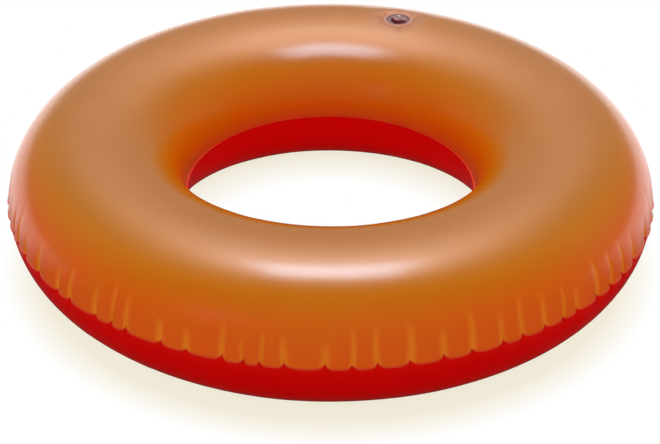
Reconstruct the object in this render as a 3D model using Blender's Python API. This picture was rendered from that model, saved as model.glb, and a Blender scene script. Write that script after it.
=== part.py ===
"""Inflatable swim ring: two PVC films welded together along an outer and an inner seam, with a push-in valve.

The ring lies flat, its hole's axis is +Z, and the origin is on the floor under the middle of the hole.
The valve sits on the crown of the tube, on the +Y side.
"""

import math
import random
from collections import namedtuple

import bmesh
import bpy
from mathutils import Vector

# Tube, in metres
TUBE_CENTRE_RADIUS = 0.26155
TUBE_WIDTH = 0.1979
TUBE_HEIGHT = 0.1735
REST_FLAT_DEPTH = 0.0005
FILM_THICKNESS = 0.0003
OUTER_WELD_MARGIN = 0.0016
INNER_WELD_MARGIN = 0.0018
WELD_GAP = 0.0003

# Pleats where the films are gathered along the outer weld
PLEAT_COUNT = 76
PLEAT_DEPTH = 0.0036
PLEAT_DROOP = 0.0056
PLEAT_CREST_SHARE = 0.2
UPPER_PLEAT_HEIGHT = 0.0460
LOWER_PLEAT_HEIGHT = 0.0150
PLEAT_UNEVENNESS = 0.26
SHALLOWEST_CREASE = 0.55
PLEAT_FALLOFF = 1.2
PLEAT_SEED = 11

# Azimuths in degrees of the creases that the photo shows; the rest are drawn at random
SEEN_CREASES = (
    210.3, 214.7, 217.9, 222.3, 228.5, 235.2, 238.6, 245.5, 249.0, 252.0, 259.2,
    263.8, 270.1, 273.7, 276.3, 280.3, 286.9, 291.2, 295.3, 300.6, 306.3, 311.2,
    317.1, 320.8, 325.5, 329.5, 332.9, 338.5, 342.8, 347.0, 352.0, 359.7, 364.9,
)

# Dimple and hole of the upper film, round the valve
VALVE_OFFSET = 0.0030
DIMPLE_DEPTH = 0.0035
DIMPLE_RADIUS = 0.0350
DIMPLE_FALLOFF = 3
VALVE_HOLE_RADIUS = 0.0140
VALVE_SEAT_GAP = 0.0003

# Valve flange and web
FLANGE_RADIUS = 0.0178
FLANGE_THICKNESS = 0.0010
FLANGE_RIM_THICKNESS = 0.0006
FLANGE_SHOULDER_SHARE = 0.33
WELL_RADIUS = 0.0098
WEB_THICKNESS = 0.0007
WEB_DEPTH = 0.0100
MOULDED_GAP = 0.0003

# Valve stem
STEM_RADIUS = 0.0049
STEM_BORE_RADIUS = 0.0036
STEM_RISE = 0.0010
STEM_RIM_WIDTH = 0.0009
STEM_RIM_HEIGHT = 0.0010
STEM_COLLAR_WIDTH = 0.0011
STEM_COLLAR_HEIGHT = 0.0012

# Check flap
FLAP_OVERLAP = 0.0010
FLAP_THICKNESS = 0.0005
FLAP_HINGE_OFFSET = 0.0042

# Plug
PLUG_HEAD_RADIUS = 0.0060
PLUG_HEAD_HEIGHT = 0.0018
PLUG_DISH_DEPTH = 0.0004
PLUG_DISH_RADIUS = 0.0040
PLUG_SHANK_LENGTH = 0.0062
PLUG_TAPER = 0.0005
PLUG_CLEARANCE = 0.0003
PLUG_WALL = 0.0011
PLUG_HOLLOW_DEPTH = 0.0045
EDGE_CHAMFER = 0.0003

# Strap
STRAP_WIDTH = 0.0032
STRAP_THICKNESS = 0.0007
STRAP_REACH = 0.0040

# How finely the round shapes are divided
PLAIN_COLUMNS = 56
ROW_ANGLE = math.radians(16.0)
PLEAT_ROWS = (0.25, 0.6, 1.0)
SHALLOW_PLEAT_ROWS = (1.0,)
CREST_SHARES = (0.3, 0.7)
VALVE_SIDES = 24
DIMPLE_RINGS = (1.0, 0.55, 0.25, 0.1, 0.0)
PATCH_MARGIN = 0.3
STRAP_BEND_STEPS = 6
WEB_STEPS = 4

# Worked out from the sizes above
HALF_WIDTH = TUBE_WIDTH / 2
HALF_HEIGHT = TUBE_HEIGHT / 2
CENTRE_HEIGHT = HALF_HEIGHT - REST_FLAT_DEPTH
OUTER_RADIUS = TUBE_CENTRE_RADIUS + HALF_WIDTH
INNER_RADIUS = TUBE_CENTRE_RADIUS - HALF_WIDTH
CROWN_HEIGHT = CENTRE_HEIGHT + HALF_HEIGHT
VALVE_AZIMUTH = math.radians(90.0)
VALVE_REACH = TUBE_CENTRE_RADIUS + VALVE_OFFSET
VALVE_HEIGHT = CROWN_HEIGHT - DIMPLE_DEPTH - FILM_THICKNESS - VALVE_SEAT_GAP
STEM_TOP = FILM_THICKNESS + VALVE_SEAT_GAP + STEM_RISE
STEM_RIM_RADIUS = STEM_RADIUS + STEM_RIM_WIDTH
STEM_COLLAR_RADIUS = STEM_RADIUS + STEM_COLLAR_WIDTH
STEM_BASE = -WEB_DEPTH
PLUG_UNDERSIDE = STEM_TOP + MOULDED_GAP
PLUG_SHANK_RADIUS = STEM_BORE_RADIUS - PLUG_CLEARANCE

Column = namedtuple("Column", "azimuth bulge height")


def clear_scene():
    for item in list(bpy.data.objects):
        bpy.data.objects.remove(item, do_unlink=True)


def make_material(name, colour, roughness, alpha=1.0):
    material = bpy.data.materials.new(name)
    material.use_nodes = True
    shader = material.node_tree.nodes["Principled BSDF"]
    shader.inputs["Base Color"].default_value = (*colour, 1.0)
    shader.inputs["Roughness"].default_value = roughness
    shader.inputs["Metallic"].default_value = 0.0
    shader.inputs["Alpha"].default_value = alpha
    material.diffuse_color = (*colour, alpha)
    return material


def finish_object(bm, name, material, parent=None, location=(0.0, 0.0, 0.0), sharp_angle=40.0):
    """Closes the mesh work: drops unused points, turns every face outwards and makes the object."""
    loose = [vertex for vertex in bm.verts if not vertex.link_faces]
    bmesh.ops.delete(bm, geom=loose, context="VERTS")
    bmesh.ops.recalc_face_normals(bm, faces=bm.faces)
    mesh = bpy.data.meshes.new(name)
    bm.to_mesh(mesh)
    bm.free()
    mesh.shade_smooth()
    mesh.set_sharp_from_angle(angle=math.radians(sharp_angle))
    mesh.materials.append(material)
    item = bpy.data.objects.new(name, mesh)
    item.location = location
    item.parent = parent
    bpy.context.scene.collection.objects.link(item)
    return item


def make_empty(name, location, parent=None):
    empty = bpy.data.objects.new(name, None)
    empty.location = location
    empty.parent = parent
    bpy.context.scene.collection.objects.link(empty)
    return empty


def spread(start, stop, widest):
    """Evenly spaced values from start to stop, no further apart than widest."""
    count = max(1, math.ceil(abs(stop - start) / widest - 1e-9))
    return [start + (stop - start) * step / count for step in range(count + 1)]


def skin(bm, first, second, leave_out=None):
    """Joins two closed rings of (angle, vertex) pairs with a band of triangles, whatever their counts."""
    ring_a = first + [(first[0][0] + math.tau, first[0][1])]
    ring_b = second + [(second[0][0] + math.tau, second[0][1])]
    a = 0
    b = 0
    while a < len(first) or b < len(second):
        step_a = b == len(second) or (a < len(first) and ring_a[a + 1][0] <= ring_b[b + 1][0])
        if step_a:
            corners = (ring_a[a], ring_b[b], ring_a[a + 1])
            a += 1
        else:
            corners = (ring_a[a], ring_b[b], ring_b[b + 1])
            b += 1
        middle = sum(angle for angle, _ in corners) / 3
        if leave_out is None or not leave_out(middle):
            bm.faces.new([vertex for _, vertex in corners])


def crease_azimuths(rng):
    """The creases seen in the photo, and uneven ones of the same pitch on the far side."""
    seen = [math.radians(degrees) for degrees in SEEN_CREASES]
    hidden_count = PLEAT_COUNT - len(seen)
    pitch = (seen[0] + math.tau - seen[-1]) / (hidden_count + 1)
    hidden = []
    for index in range(hidden_count):
        steps = index + 1 + rng.uniform(-PLEAT_UNEVENNESS, PLEAT_UNEVENNESS)
        hidden.append(seen[-1] + pitch * steps)
    return sorted(azimuth % math.tau for azimuth in seen + hidden)


def pleat_columns():
    """Creases and crests round the outer weld, a little uneven, as gathered film falls."""
    rng = random.Random(PLEAT_SEED)
    creases = []
    for azimuth in crease_azimuths(rng):
        depth = rng.uniform(SHALLOWEST_CREASE, 1.0)
        height = rng.uniform(SHALLOWEST_CREASE, 1.0)
        creases.append(Column(azimuth, depth, height))
    columns = []
    for crease, following in zip(creases, creases[1:] + creases[:1]):
        gap = (following.azimuth - crease.azimuth) % math.tau
        crest = PLEAT_CREST_SHARE * (crease.bulge + following.bulge) / 2
        height = (crease.height + following.height) / 2
        columns.append(Column(crease.azimuth, (PLEAT_CREST_SHARE - 1.0) * crease.bulge, crease.height))
        for share in CREST_SHARES:
            columns.append(Column(crease.azimuth + share * gap, crest, height))
    return columns


def plain_columns():
    pitch = math.tau / PLAIN_COLUMNS
    first = math.fmod(VALVE_AZIMUTH, pitch)
    return [Column(first + pitch * index, 0.0, 1.0) for index in range(PLAIN_COLUMNS)]


def pleat_fade(share, column):
    """How much of a pleat is left at a share of the pleated height: 1 at the weld, 0 where it ends."""
    return max(0.0, 1.0 - share / column.height) ** PLEAT_FALLOFF


def turn_about_hole(column, reach, height):
    point = Vector((reach * math.cos(column.azimuth), reach * math.sin(column.azimuth), height))
    return column.azimuth, point


def weld_row(columns, side, reach, inset):
    """A row of one film along a weld: side is 1 above the weld and -1 below it."""
    level = CENTRE_HEIGHT + side * (WELD_GAP / 2 + FILM_THICKNESS - inset)
    row = []
    for column in columns:
        out = column.bulge * PLEAT_DEPTH
        drop = column.bulge * PLEAT_DROOP
        row.append(turn_about_hole(column, reach + out, level - drop))
    return row


def tube_row(columns, side, angle, inset, pleat_share=1.0):
    """A row of one film along the tube, at an angle from the outer weld round the tube's section."""
    row = []
    for column in columns:
        fade = pleat_fade(pleat_share, column)
        out = fade * column.bulge * PLEAT_DEPTH
        drop = fade * column.bulge * PLEAT_DROOP
        reach = TUBE_CENTRE_RADIUS + (HALF_WIDTH - inset) * math.cos(angle) + out
        height = CENTRE_HEIGHT + side * (HALF_HEIGHT - inset) * math.sin(angle) - drop
        row.append(turn_about_hole(column, reach, max(height, inset)))
    return row


def film_rows(side, pleat_height, pleat_shares, angles, inset):
    """All rows of one face of a film, from the edge of the outer weld to the edge of the inner one."""
    gathered = pleat_columns()
    plain = plain_columns()
    rows = [
        weld_row(gathered, side, OUTER_RADIUS + OUTER_WELD_MARGIN, inset),
        weld_row(gathered, side, OUTER_RADIUS - inset, inset),
    ]
    for share in pleat_shares:
        rows.append(tube_row(gathered, side, share * pleat_height / HALF_HEIGHT, inset, share))
    for angle in angles:
        rows.append(tube_row(plain, side, angle, inset))
    rows.append(weld_row(plain, side, INNER_RADIUS + inset, inset))
    rows.append(weld_row(plain, side, INNER_RADIUS - INNER_WELD_MARGIN, inset))
    return rows


def add_rows(bm, rows):
    return [[(azimuth, bm.verts.new(point)) for azimuth, point in row] for row in rows]


def dimple_height(x, y, inset):
    """Height of the upper film near the valve: the tube's crown, drawn down to the valve's flat seat."""
    reach = math.hypot(x, y) - TUBE_CENTRE_RADIUS
    crown = math.sqrt(1.0 - (reach / (HALF_WIDTH - inset)) ** 2)
    tube = CENTRE_HEIGHT + (HALF_HEIGHT - inset) * crown
    seat = CROWN_HEIGHT - DIMPLE_DEPTH - inset
    distance = math.hypot(x, y - VALVE_REACH)
    share = (distance - FLANGE_RADIUS) / (DIMPLE_RADIUS - FLANGE_RADIUS)
    share = min(1.0, max(0.0, share))
    return seat + (tube - seat) * (1.0 - (1.0 - share) ** DIMPLE_FALLOFF)


def dimple_rings(bm, inset):
    """Rings of film from the edge of the dimple in to the edge of the valve's hole."""
    radii = [FLANGE_RADIUS + share * (DIMPLE_RADIUS - FLANGE_RADIUS) for share in DIMPLE_RINGS]
    rings = []
    for radius in radii + [VALVE_HOLE_RADIUS]:
        ring = []
        for index in range(VALVE_SIDES):
            angle = math.tau * index / VALVE_SIDES - math.pi
            x = radius * math.cos(angle)
            y = VALVE_REACH + radius * math.sin(angle)
            ring.append((angle, bm.verts.new((x, y, dimple_height(x, y, inset)))))
        rings.append(ring)
    return rings


def patch_columns():
    """How many plain columns on each side of the valve the dimple's patch takes up."""
    return math.ceil(DIMPLE_RADIUS / (TUBE_CENTRE_RADIUS * math.tau / PLAIN_COLUMNS) + PATCH_MARGIN)


def patch_rows():
    """How many rows on each side of the crown the dimple's patch takes up."""
    return math.ceil(math.asin(min(1.0, DIMPLE_RADIUS / HALF_WIDTH)) / ROW_ANGLE + PATCH_MARGIN)


def patch_border(rows, first_row, last_row, columns_each_side):
    """The film's points round the patch, as (angle about the valve, vertex) pairs in order."""
    pitch = math.tau / PLAIN_COLUMNS
    half = (columns_each_side + PATCH_MARGIN) * pitch
    inner = (columns_each_side - PATCH_MARGIN) * pitch
    border = []
    for index in range(first_row, last_row + 1):
        for azimuth, vertex in rows[index]:
            off_valve = abs(azimuth - VALVE_AZIMUTH)
            on_end_row = index in (first_row, last_row) and off_valve < half
            on_side = inner < off_valve < half
            if on_end_row or on_side:
                angle = math.atan2(vertex.co.y - VALVE_REACH, vertex.co.x)
                border.append((angle, vertex))
    return sorted(border, key=lambda pair: pair[0])


def make_upper_film(material):
    pleat_top = UPPER_PLEAT_HEIGHT / HALF_HEIGHT
    quarter = math.pi / 2
    rows_each_side = patch_rows()
    patch_angle = rows_each_side * ROW_ANGLE
    before = spread(pleat_top, quarter - patch_angle, ROW_ANGLE)[1:]
    across = spread(quarter - patch_angle, quarter + patch_angle, ROW_ANGLE)[1:]
    after = spread(quarter + patch_angle, math.pi, ROW_ANGLE)[1:-1]
    angles = before + across + after
    patch_start = 2 + len(PLEAT_ROWS) + len(before) - 1
    patch_end = patch_start + 2 * rows_each_side
    columns_each_side = patch_columns()
    half = columns_each_side * math.tau / PLAIN_COLUMNS

    def over_patch(azimuth):
        return abs(azimuth - VALVE_AZIMUTH) < half

    bm = bmesh.new()
    edges = []
    for inset in (0.0, FILM_THICKNESS):
        rows = add_rows(bm, film_rows(1, UPPER_PLEAT_HEIGHT, PLEAT_ROWS, angles, inset))
        for index in range(len(rows) - 1):
            in_patch = patch_start <= index < patch_end
            skin(bm, rows[index], rows[index + 1], over_patch if in_patch else None)
        rings = [patch_border(rows, patch_start, patch_end, columns_each_side)] + dimple_rings(bm, inset)
        for ring, following in zip(rings, rings[1:]):
            skin(bm, ring, following)
        edges.append((rows[0], rows[-1], rings[-1]))
    for outer_edge, inner_edge in zip(*edges):
        skin(bm, outer_edge, inner_edge)
    return finish_object(bm, "upper_film", material)


def make_lower_film(material):
    pleat_top = LOWER_PLEAT_HEIGHT / HALF_HEIGHT
    flat_half_angle = math.acos(CENTRE_HEIGHT / HALF_HEIGHT)
    quarter = math.pi / 2
    before = spread(pleat_top, quarter - flat_half_angle, ROW_ANGLE)[1:]
    after = spread(quarter + flat_half_angle, math.pi, ROW_ANGLE)[:-1]
    bm = bmesh.new()
    edges = []
    for inset in (0.0, FILM_THICKNESS):
        sizes = (-1, LOWER_PLEAT_HEIGHT, SHALLOW_PLEAT_ROWS, before + after, inset)
        rows = add_rows(bm, film_rows(*sizes))
        for row, following in zip(rows, rows[1:]):
            skin(bm, row, following)
        edges.append((rows[0], rows[-1]))
    for outer_edge, inner_edge in zip(*edges):
        skin(bm, outer_edge, inner_edge)
    return finish_object(bm, "lower_film", material)


def turned(name, profile, material, parent, location=(0.0, 0.0, 0.0)):
    """A turned piece from (radius, height) points; one that starts and ends at radius 0 is solid."""
    bm = bmesh.new()
    solid = profile[0][0] == 0.0
    rings = []
    for radius, height in profile:
        if radius == 0.0:
            rings.append([(-math.pi, bm.verts.new((0.0, 0.0, height)))])
            continue
        ring = []
        for index in range(VALVE_SIDES):
            angle = math.tau * index / VALVE_SIDES - math.pi
            point = (radius * math.cos(angle), radius * math.sin(angle), height)
            ring.append((angle, bm.verts.new(point)))
        rings.append(ring)
    pairs = list(zip(rings, rings[1:]))
    if not solid:
        pairs.append((rings[-1], rings[0]))
    for ring, following in pairs:
        if len(ring) == 1 or len(following) == 1:
            pole, rim = (ring, following) if len(ring) == 1 else (following, ring)
            for (_, one), (_, other) in zip(rim, rim[1:] + rim[:1]):
                bm.faces.new((pole[0][1], one, other))
        else:
            skin(bm, ring, following)
    return finish_object(bm, name, material, parent, location)


def thicken(path, thickness):
    """A closed outline round a path of (radius, height) points, half the thickness to each side."""
    left = []
    right = []
    for index, point in enumerate(path):
        before = Vector(path[max(index - 1, 0)])
        after = Vector(path[min(index + 1, len(path) - 1)])
        along = (after - before).normalized()
        across = Vector((-along.y, along.x)) * thickness / 2
        middle = Vector(point)
        left.append(tuple(middle + across))
        right.append(tuple(middle - across))
    return left + right[::-1]


def make_flange(material, parent):
    shoulder = WELL_RADIUS + (FLANGE_RADIUS - WELL_RADIUS) * FLANGE_SHOULDER_SHARE
    profile = [
        (WELL_RADIUS, 0.0),
        (FLANGE_RADIUS, 0.0),
        (FLANGE_RADIUS, -FLANGE_RIM_THICKNESS),
        (shoulder, -FLANGE_THICKNESS),
        (WELL_RADIUS, -FLANGE_THICKNESS),
    ]
    return turned("valve_flange", profile, material, parent)


def make_web(material, parent):
    """The cone between flange and stem, drawn in its pushed-in state."""
    top_radius = WELL_RADIUS - MOULDED_GAP - WEB_THICKNESS / 2
    bottom_radius = STEM_COLLAR_RADIUS + MOULDED_GAP + WEB_THICKNESS / 2
    top = -FLANGE_THICKNESS / 2
    bottom = STEM_BASE + STEM_COLLAR_HEIGHT / 2
    path = []
    for step in range(WEB_STEPS + 1):
        share = step / WEB_STEPS
        inward = (1.0 - math.cos(math.pi * share)) / 2
        path.append((top_radius + (bottom_radius - top_radius) * inward, top + (bottom - top) * share))
    return turned("valve_web", thicken(path, WEB_THICKNESS), material, parent)


def make_stem(material, parent):
    collar_top = STEM_BASE + STEM_COLLAR_HEIGHT
    rim_base = STEM_TOP - STEM_RIM_HEIGHT
    profile = [
        (STEM_BORE_RADIUS, STEM_TOP),
        (STEM_RIM_RADIUS - EDGE_CHAMFER, STEM_TOP),
        (STEM_RIM_RADIUS, STEM_TOP - EDGE_CHAMFER),
        (STEM_RIM_RADIUS, rim_base),
        (STEM_RADIUS, rim_base - STEM_RIM_WIDTH),
        (STEM_RADIUS, collar_top),
        (STEM_COLLAR_RADIUS, collar_top),
        (STEM_COLLAR_RADIUS, STEM_BASE),
        (STEM_BORE_RADIUS, STEM_BASE),
    ]
    return turned("valve_stem", profile, material, parent)


def make_flap(material, parent):
    """A thin disc under the stem's bore, cut straight along its hinge. Its origin is on the hinge line."""
    radius = STEM_BORE_RADIUS + FLAP_OVERLAP
    cut = math.asin(min(1.0, FLAP_HINGE_OFFSET / radius))
    angles = spread(-cut, math.pi + cut, math.tau / VALVE_SIDES)
    hinge = Vector((0.0, -FLAP_HINGE_OFFSET, 0.0))
    bm = bmesh.new()
    corners = []
    for angle in angles:
        point = Vector((radius * math.cos(angle), radius * math.sin(angle), 0.0))
        corners.append(bm.verts.new(point - hinge))
    top = bm.faces.new(corners)
    grown = bmesh.ops.extrude_face_region(bm, geom=[top])
    lowered = [item for item in grown["geom"] if isinstance(item, bmesh.types.BMVert)]
    bmesh.ops.translate(bm, verts=lowered, vec=(0.0, 0.0, -FLAP_THICKNESS))
    place = hinge + Vector((0.0, 0.0, STEM_BASE - MOULDED_GAP))
    return finish_object(bm, "check_flap", material, parent, place)


def make_plug(material, parent):
    head_top = PLUG_UNDERSIDE + PLUG_HEAD_HEIGHT
    tip = PLUG_UNDERSIDE - PLUG_SHANK_LENGTH
    tip_radius = PLUG_SHANK_RADIUS - PLUG_TAPER
    hollow_radius = tip_radius - PLUG_WALL
    hollow_top = tip + PLUG_HOLLOW_DEPTH
    profile = [
        (0.0, head_top - PLUG_DISH_DEPTH),
        (PLUG_DISH_RADIUS, head_top - PLUG_DISH_DEPTH),
        (PLUG_DISH_RADIUS + PLUG_DISH_DEPTH, head_top),
        (PLUG_HEAD_RADIUS - EDGE_CHAMFER, head_top),
        (PLUG_HEAD_RADIUS, head_top - EDGE_CHAMFER),
        (PLUG_HEAD_RADIUS, PLUG_UNDERSIDE + EDGE_CHAMFER),
        (PLUG_HEAD_RADIUS - EDGE_CHAMFER, PLUG_UNDERSIDE),
        (PLUG_SHANK_RADIUS, PLUG_UNDERSIDE),
        (tip_radius, tip),
        (hollow_radius, tip),
        (hollow_radius, hollow_top),
        (0.0, hollow_top),
    ]
    return turned("valve_plug", profile, material, parent)


def make_strap(material, parent):
    """A flat strap that leaves the stem's rim, turns over and comes back to the plug's head."""
    low = STEM_TOP - STEM_RIM_HEIGHT / 2
    high = PLUG_UNDERSIDE + PLUG_HEAD_HEIGHT / 2
    bend = (high - low) / 2
    turn = max(STEM_RIM_RADIUS, PLUG_HEAD_RADIUS) + STRAP_REACH
    path = [(STEM_RIM_RADIUS + MOULDED_GAP, low)]
    for step in range(STRAP_BEND_STEPS + 1):
        angle = math.pi * step / STRAP_BEND_STEPS
        path.append((turn + bend * math.sin(angle), low + bend - bend * math.cos(angle)))
    path.append((PLUG_HEAD_RADIUS + MOULDED_GAP, high))
    outline = thicken(path, STRAP_THICKNESS)
    bm = bmesh.new()
    near = [bm.verts.new((x, -STRAP_WIDTH / 2, z)) for x, z in outline]
    far = [bm.verts.new((x, STRAP_WIDTH / 2, z)) for x, z in outline]
    count = len(outline)
    half = count // 2
    for index in range(count):
        after = (index + 1) % count
        bm.faces.new((near[index], near[after], far[after], far[index]))
    for index in range(half - 1):
        opposite = count - 1 - index
        bm.faces.new((near[index], near[index + 1], near[opposite - 1], near[opposite]))
        bm.faces.new((far[index], far[index + 1], far[opposite - 1], far[opposite]))
    return finish_object(bm, "plug_strap", material, parent)


def build():
    clear_scene()
    orange_film = make_material("orange film", (0.62, 0.13, 0.006), 0.38)
    red_film = make_material("red film", (0.42, 0.004, 0.004), 0.12, alpha=0.75)
    clear_vinyl = make_material("clear vinyl", (0.55, 0.30, 0.28), 0.15, alpha=0.5)
    make_upper_film(orange_film)
    make_lower_film(red_film)
    valve_place = (
        VALVE_REACH * math.cos(VALVE_AZIMUTH),
        VALVE_REACH * math.sin(VALVE_AZIMUTH),
        VALVE_HEIGHT,
    )
    valve = make_empty("valve_axis", valve_place)
    lifted = make_empty("valve_lift_axis", (0.0, 0.0, 0.0), valve)
    make_flange(clear_vinyl, valve)
    make_web(clear_vinyl, valve)
    make_stem(clear_vinyl, lifted)
    make_flap(clear_vinyl, lifted)
    make_plug(clear_vinyl, lifted)
    make_strap(clear_vinyl, lifted)


build()
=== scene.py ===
# %% [markdown]
# # An inflated swim ring
# Two sheets of vinyl film, orange over red, are welded together along an outer and an inner seam and
# blown up. Along the outer seam the film has more length than the weld, so it gathers into pleats.
# A soft clear valve sits in a dimple on top. This notebook dresses a measured frame of the ring:
# every piece made here but the web and the strap rides on a body of that frame, so it moves when the
# valve moves.

# %% Load the frame
import math
import random
from collections import namedtuple

import bmesh
import bpy
from mathutils import Matrix, Vector


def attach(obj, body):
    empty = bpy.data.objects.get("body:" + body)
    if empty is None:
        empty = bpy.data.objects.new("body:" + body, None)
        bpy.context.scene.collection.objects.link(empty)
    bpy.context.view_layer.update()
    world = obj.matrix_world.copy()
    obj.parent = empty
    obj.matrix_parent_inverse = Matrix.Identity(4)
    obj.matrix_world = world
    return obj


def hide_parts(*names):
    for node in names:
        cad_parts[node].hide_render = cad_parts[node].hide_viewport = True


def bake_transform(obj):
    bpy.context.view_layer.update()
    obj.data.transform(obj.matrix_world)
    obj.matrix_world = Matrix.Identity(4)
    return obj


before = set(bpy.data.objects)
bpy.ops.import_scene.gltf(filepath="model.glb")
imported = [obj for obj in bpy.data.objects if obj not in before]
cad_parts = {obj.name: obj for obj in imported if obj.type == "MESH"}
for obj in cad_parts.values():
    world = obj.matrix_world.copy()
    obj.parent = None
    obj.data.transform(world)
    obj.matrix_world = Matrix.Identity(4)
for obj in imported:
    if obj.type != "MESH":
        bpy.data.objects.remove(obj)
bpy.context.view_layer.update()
print("nodes:", sorted(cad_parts))

# %% [markdown]
# ## The sizes
# A tube that is bent round into a ring needs only three numbers: how far its centre line is from the
# middle of the hole, and how wide and how high its section is. Everything is in metres, and the floor is
# at height 0.

# %% Tube sizes
CENTRE_RADIUS = 0.26155
HALF_WIDTH = 0.09895
HALF_HEIGHT = 0.08675
REST_FLAT_DEPTH = 0.0005
CENTRE_HEIGHT = HALF_HEIGHT - REST_FLAT_DEPTH
CROWN_HEIGHT = CENTRE_HEIGHT + HALF_HEIGHT
FILM_THICKNESS = 0.0003
WELD_GAP = 0.0003
OUTER_WELD_MARGIN = 0.0016
OUTER_WELD_TILT = math.radians(60.0)
INNER_WELD_MARGIN = 0.0018
print(f"outer radius {CENTRE_RADIUS + HALF_WIDTH:.4f}, hole radius {CENTRE_RADIUS - HALF_WIDTH:.4f}")

# %% Pleat, dimple and valve sizes
PLEAT_COUNT = 76
PLEAT_DEPTH = 0.0036
PLEAT_DROOP = 0.0056
PLEAT_CREST_SHARE = 0.2
UPPER_PLEAT_HEIGHT = 0.0460
LOWER_PLEAT_HEIGHT = 0.0150
PLEAT_UNEVENNESS = 0.26
SHALLOWEST_CREASE = 0.55
PLEAT_SEED = 11
VALVE_OFFSET = 0.0030
VALVE_REACH = CENTRE_RADIUS + VALVE_OFFSET
DIMPLE_DEPTH = 0.0035
DIMPLE_RADIUS = 0.0350
VALVE_HOLE_RADIUS = 0.0140
FLANGE_RADIUS = 0.0178
VALVE_SEAT_GAP = 0.0003
VALVE_HEIGHT = CROWN_HEIGHT - DIMPLE_DEPTH - FILM_THICKNESS - VALVE_SEAT_GAP
VALVE_CENTRE = Vector((0.0, VALVE_REACH, VALVE_HEIGHT))
print("valve flange at", [round(value, 4) for value in VALVE_CENTRE])

# %% [markdown]
# ## Helpers for node trees
# A node tree could be clicked together, or written as a long list of nodes and links. Here a small class
# wraps a socket and overloads the operators, so that a formula such as `1 - mask` adds its own Math node.
# Shader trees and Geometry Nodes share the same Math node, so one class serves both.


# %% A socket that can be calculated with
class Wire:
    """A socket's value. An operator on it adds the Math node that works it out."""

    def __init__(self, graph, socket):
        self.graph = graph
        self.socket = socket

    def math(self, operation, *others):
        terms = (self, *others)
        return self.graph.add("ShaderNodeMath", {"operation": operation}, dict(enumerate(terms)))

    def __add__(self, other):
        return self.math("ADD", other)

    def __radd__(self, other):
        return self.math("ADD", other)

    def __sub__(self, other):
        return self.math("SUBTRACT", other)

    def __rsub__(self, other):
        return self.graph.add("ShaderNodeMath", {"operation": "SUBTRACT"}, {0: other, 1: self})

    def __mul__(self, other):
        return self.math("MULTIPLY", other)

    def __rmul__(self, other):
        return self.math("MULTIPLY", other)

    def __truediv__(self, other):
        return self.math("DIVIDE", other)

    def __pow__(self, other):
        return self.math("POWER", other)

    def clamp(self):
        return self.math("MAXIMUM", 0.0).math("MINIMUM", 1.0)

    def rising(self, start, width):
        """0 up to the start, and 1 from a width beyond it."""
        return ((self - start) / width).clamp()

    def falling(self, end, width):
        """1 up to a width before the end, and 0 from the end."""
        return ((end - self) / width).clamp()


# %% A tree that nodes are added to
class Graph:
    """A node tree, a shader's or a Geometry Nodes one."""

    def __init__(self, tree):
        self.tree = tree

    def pick(self, sockets, key):
        if isinstance(key, int):
            return sockets[key]
        for socket in sockets:
            if socket.identifier == key:
                return socket
        return sockets[key]

    def add(self, kind, settings=None, inputs=None, output=0):
        """Adds a node: its settings first, then the values or links of its sockets."""
        node = self.tree.nodes.new(kind)
        for name, value in (settings or {}).items():
            if name == "stops":
                self.set_stops(node.color_ramp, value)
            else:
                setattr(node, name, value)
        for key, value in (inputs or {}).items():
            socket = self.pick(node.inputs, key)
            if isinstance(value, Wire):
                self.tree.links.new(value.socket, socket)
            else:
                socket.default_value = value
        return Wire(self, self.pick(node.outputs, output)) if len(node.outputs) else node

    def set_stops(self, ramp, stops):
        while len(ramp.elements) < len(stops):
            ramp.elements.new(1.0)
        for element, (position, colour) in zip(ramp.elements, stops):
            element.position = position
            element.color = (*colour, 1.0)


def level_length(x, y):
    """The length of a level vector, from its two parts."""
    return (x * x + y * y).math("SQRT")


def noise(graph, place, scale, detail=2.0, roughness=0.5):
    inputs = {"Vector": place, "Scale": scale, "Detail": detail, "Roughness": roughness}
    return graph.add("ShaderNodeTexNoise", {"noise_dimensions": "3D"}, inputs)


print("helpers ready")

# %% [markdown]
# ## Where the creases fall
# Gathered film never folds evenly. The creases on the near side stand where they were measured; those on
# the far side are drawn from a random generator with a fixed seed, so the ring comes out the same every
# time. Each crease also gets a depth and a height of its own.

# %% Draw the creases
SEEN_CREASES = (
    210.3, 214.7, 217.9, 222.3, 228.5, 235.2, 238.6, 245.5, 249.0, 252.0, 259.2,
    263.8, 270.1, 273.7, 276.3, 280.3, 286.9, 291.2, 295.3, 300.6, 306.3, 311.2,
    317.1, 320.8, 325.5, 329.5, 332.9, 338.5, 342.8, 347.0, 352.0, 359.7, 364.9,
)
Crease = namedtuple("Crease", "azimuth depth height")


def crease_azimuths(rng):
    seen = [math.radians(degrees) for degrees in SEEN_CREASES]
    hidden_count = PLEAT_COUNT - len(seen)
    pitch = (seen[0] + math.tau - seen[-1]) / (hidden_count + 1)
    hidden = []
    for index in range(hidden_count):
        steps = index + 1 + rng.uniform(-PLEAT_UNEVENNESS, PLEAT_UNEVENNESS)
        hidden.append(seen[-1] + pitch * steps)
    return sorted(azimuth % math.tau for azimuth in seen + hidden)


def draw_creases():
    rng = random.Random(PLEAT_SEED)
    creases = []
    for azimuth in crease_azimuths(rng):
        depth = rng.uniform(SHALLOWEST_CREASE, 1.0)
        height = rng.uniform(SHALLOWEST_CREASE, 1.0)
        creases.append(Crease(azimuth, depth, height))
    return creases


creases = draw_creases()
print(len(creases), "creases, the first at", round(math.degrees(creases[0].azimuth), 2), "degrees")

# %% [markdown]
# ## A flat sheet that knows its address on the tube
# The film is one sheet wrapped round half of the tube. It could be pushed into shape by cloth
# simulation, but a taut inflated film is so regular that a rule does better. So the sheet is first laid
# out as points that only carry an address: the azimuth round the hole, the angle round the tube's
# section, and where the point lies within its pleat.

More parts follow.
